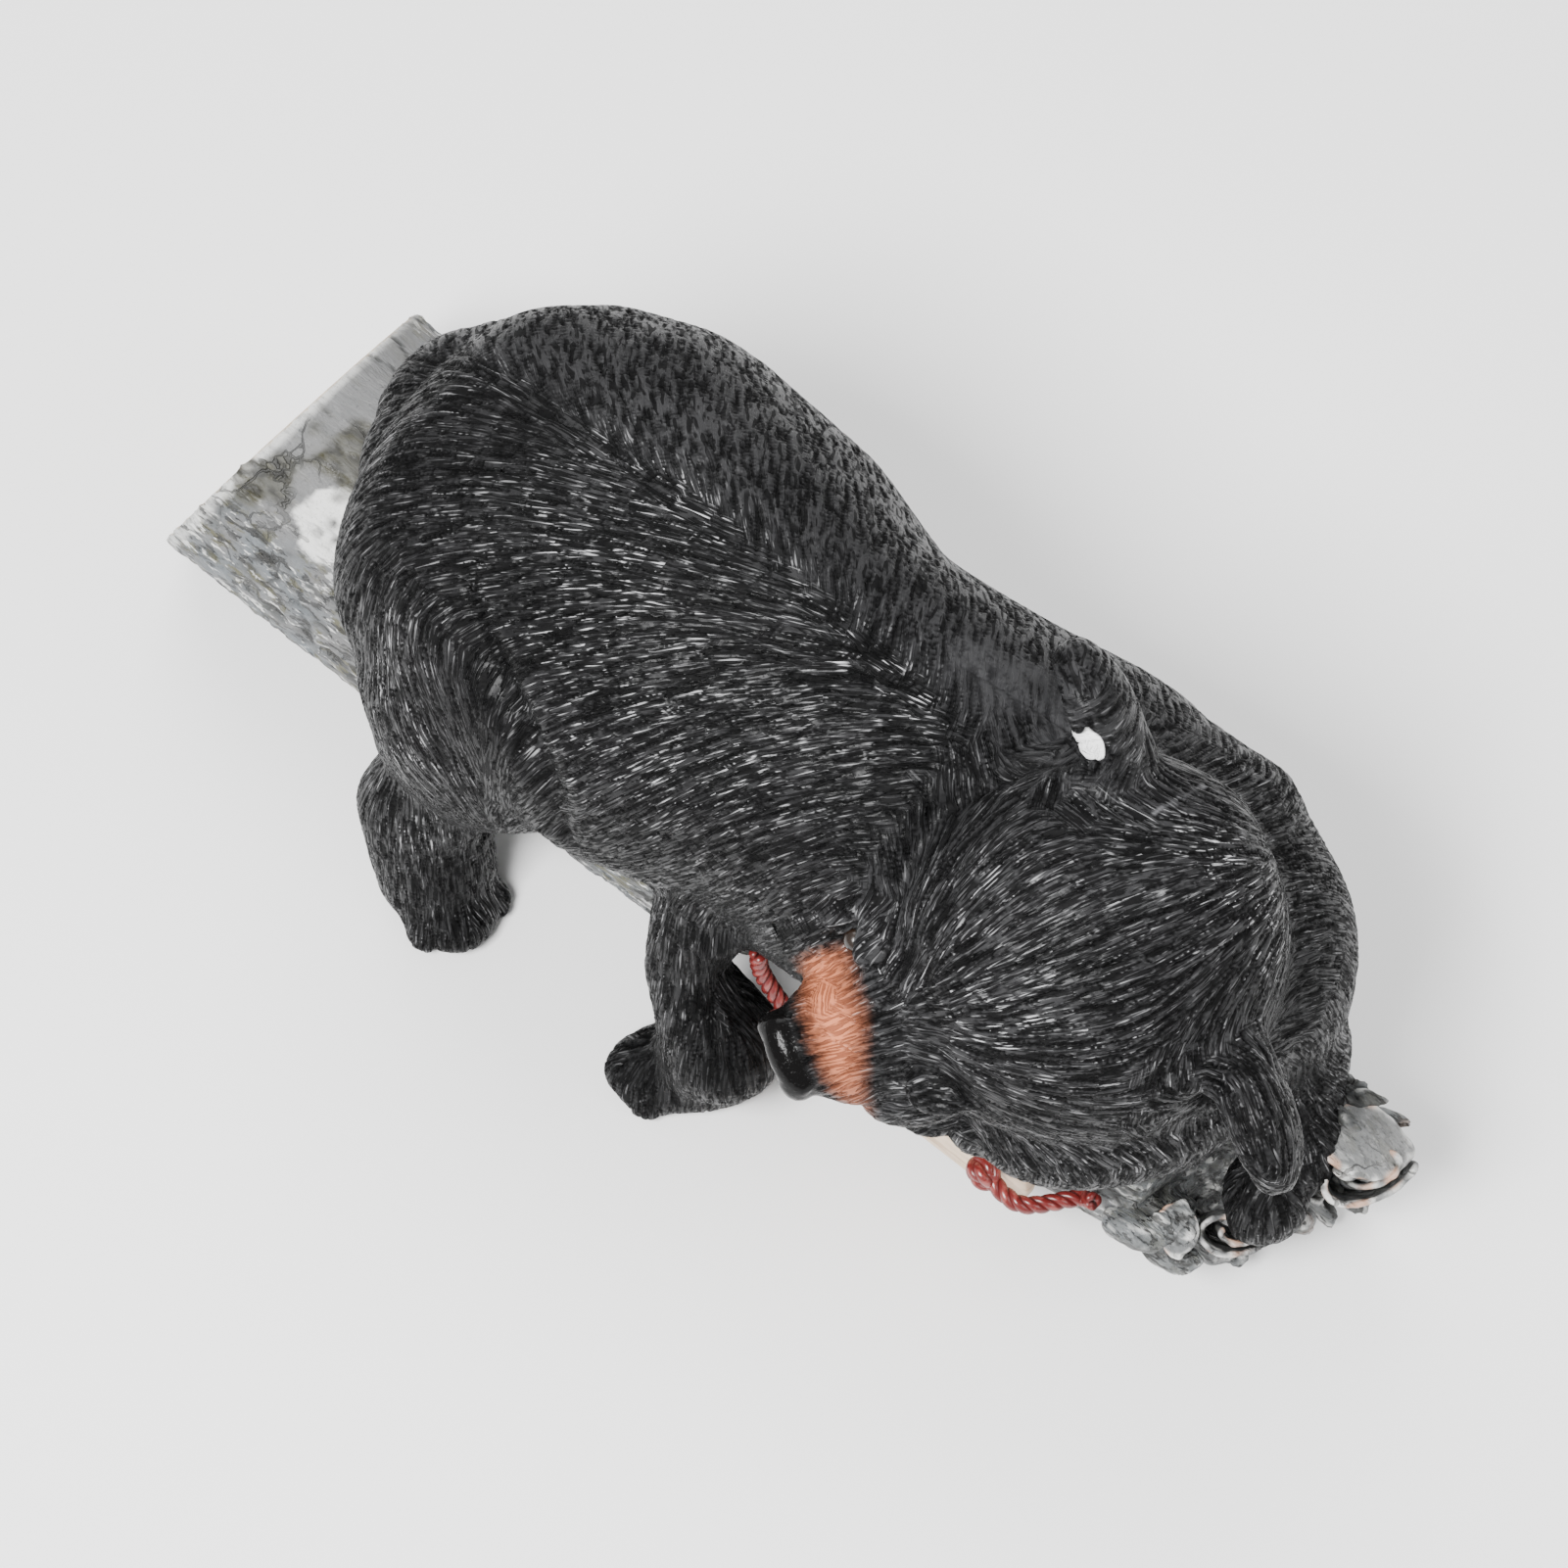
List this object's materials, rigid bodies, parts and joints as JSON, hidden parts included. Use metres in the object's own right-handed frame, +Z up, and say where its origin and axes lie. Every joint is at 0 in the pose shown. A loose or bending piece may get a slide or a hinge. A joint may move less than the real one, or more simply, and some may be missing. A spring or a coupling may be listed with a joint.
{
  "type": "resin bear figurine",
  "caption": "Cast resin bear lying over a broken birch log with its head turned back, and a small bare board hanging on a rope below it.",
  "frame": {"origin": "on the ground plane under the log, about half way along it, in the middle of the log's flat underside", "axes": "+X along the log from its sawn end to its broken end, +Y to the bear's left, +Z up. The bear's face and the board look towards -Y"},
  "size_m": [0.3445, 0.1433, 0.1705],
  "materials": {
    "black_coat": "painted black fur, brushed with grey, satin",
    "birch_bark": "painted pale birch bark with moss stains",
    "bare_board": "painted tan wood",
    "red_rope": "painted dark red, glossy"
  },
  "bodies": {
    "root": {"bear": "black_coat", "log": "birch_bark", "sign_board": "bare_board", "rope_left": "red_rope", "rope_right": "red_rope"}
  },
  "joints": []
}
